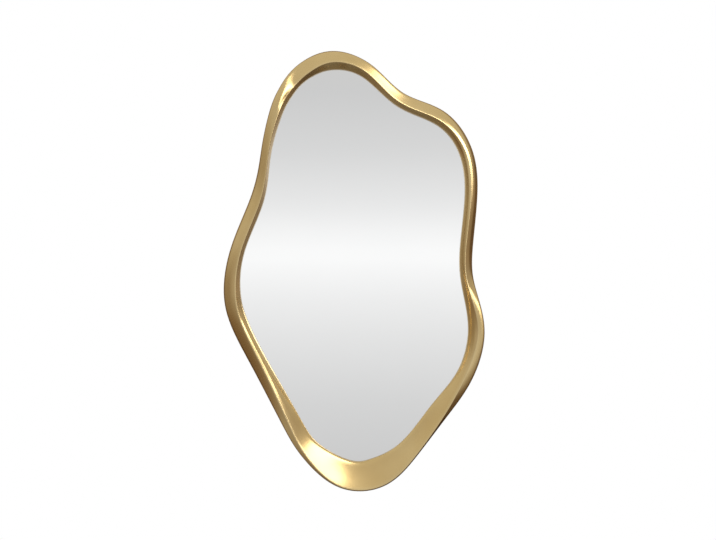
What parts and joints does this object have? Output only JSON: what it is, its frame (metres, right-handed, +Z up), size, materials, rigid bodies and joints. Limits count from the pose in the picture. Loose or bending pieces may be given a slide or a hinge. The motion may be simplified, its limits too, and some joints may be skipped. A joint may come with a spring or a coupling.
{
  "type": "wall mirror",
  "caption": "Tall free-form wall mirror in a sculpted brushed brass-coloured metal frame, with turn buttons and folding hanger rings at the back.",
  "frame": {"origin": "on the wall plane, midway between the two wall hooks that the hanger rings hang on", "axes": "+Z up, +Y into the wall, the glass faces -Y, +X to the right of a person who looks into the mirror"},
  "size_m": [0.593, 0.0463, 1.0004],
  "materials": {
    "frame_metal": "satin",
    "mirror_glass": "polished",
    "gasket": "matte",
    "cushion": "matte",
    "back_board": "matte",
    "button_steel": "satin",
    "screw_steel": "satin",
    "strap_steel": "satin",
    "ring_steel": "satin",
    "bumper_rubber": "matte"
  },
  "bodies": {
    "mirror_body": {"frame": "frame_metal", "mirror_pane": "mirror_glass", "pane_gasket": "gasket", "cushion_sheet": "cushion", "backing_board": "back_board", "turn_button_screws": "screw_steel", "hanger_strap_left": "strap_steel", "hanger_strap_right": "strap_steel", "hanger_screws": "screw_steel", "wall_bumper_1": "bumper_rubber", "wall_bumper_2": "bumper_rubber", "wall_bumper_3": "bumper_rubber", "wall_bumper_4": "bumper_rubber"},
    "button_1": {"turn_button_1": "button_steel"},
    "button_2": {"turn_button_2": "button_steel"},
    "button_3": {"turn_button_3": "button_steel"},
    "button_4": {"turn_button_4": "button_steel"},
    "button_5": {"turn_button_5": "button_steel"},
    "button_6": {"turn_button_6": "button_steel"},
    "button_7": {"turn_button_7": "button_steel"},
    "button_8": {"turn_button_8": "button_steel"},
    "ring_left": {"hanger_ring_left": "ring_steel"},
    "ring_right": {"hanger_ring_right": "ring_steel"}
  },
  "joints": [
    {"name": "button_1_turn", "type": "hinge", "parent": "mirror_body", "child": "button_1", "pos_m": [0.07361, -0.00525, 0.15065], "axis": [0, 1, 0], "continuous": true},
    {"name": "button_2_turn", "type": "hinge", "parent": "mirror_body", "child": "button_2", "pos_m": [0.22281, -0.00525, -0.20009], "axis": [0, 1, 0], "continuous": true},
    {"name": "button_3_turn", "type": "hinge", "parent": "mirror_body", "child": "button_3", "pos_m": [0.23147, -0.00525, -0.43567], "axis": [0, 1, 0], "continuous": true},
    {"name": "button_4_turn", "type": "hinge", "parent": "mirror_body", "child": "button_4", "pos_m": [0.06524, -0.00525, -0.65215], "axis": [0, 1, 0], "continuous": true},
    {"name": "button_5_turn", "type": "hinge", "parent": "mirror_body", "child": "button_5", "pos_m": [-0.12206, -0.00525, -0.63824], "axis": [0, 1, 0], "continuous": true},
    {"name": "button_6_turn", "type": "hinge", "parent": "mirror_body", "child": "button_6", "pos_m": [-0.26864, -0.00525, -0.39085], "axis": [0, 1, 0], "continuous": true},
    {"name": "button_7_turn", "type": "hinge", "parent": "mirror_body", "child": "button_7", "pos_m": [-0.28487, -0.00525, -0.16553], "axis": [0, 1, 0], "continuous": true},
    {"name": "button_8_turn", "type": "hinge", "parent": "mirror_body", "child": "button_8", "pos_m": [-0.17319, -0.00525, 0.18275], "axis": [0, 1, 0], "continuous": true},
    {"name": "ring_left_swing", "type": "hinge", "parent": "mirror_body", "child": "ring_left", "pos_m": [-0.23938, -0.00347, -0.01375], "axis": [-0.9824, 0, 0.1866], "range_deg": [-3, 176]},
    {"name": "ring_right_swing", "type": "hinge", "parent": "mirror_body", "child": "ring_right", "pos_m": [0.2374, -0.00347, -0.01399], "axis": [-0.999, 0, -0.0449], "range_deg": [-3, 176]}
  ]
}
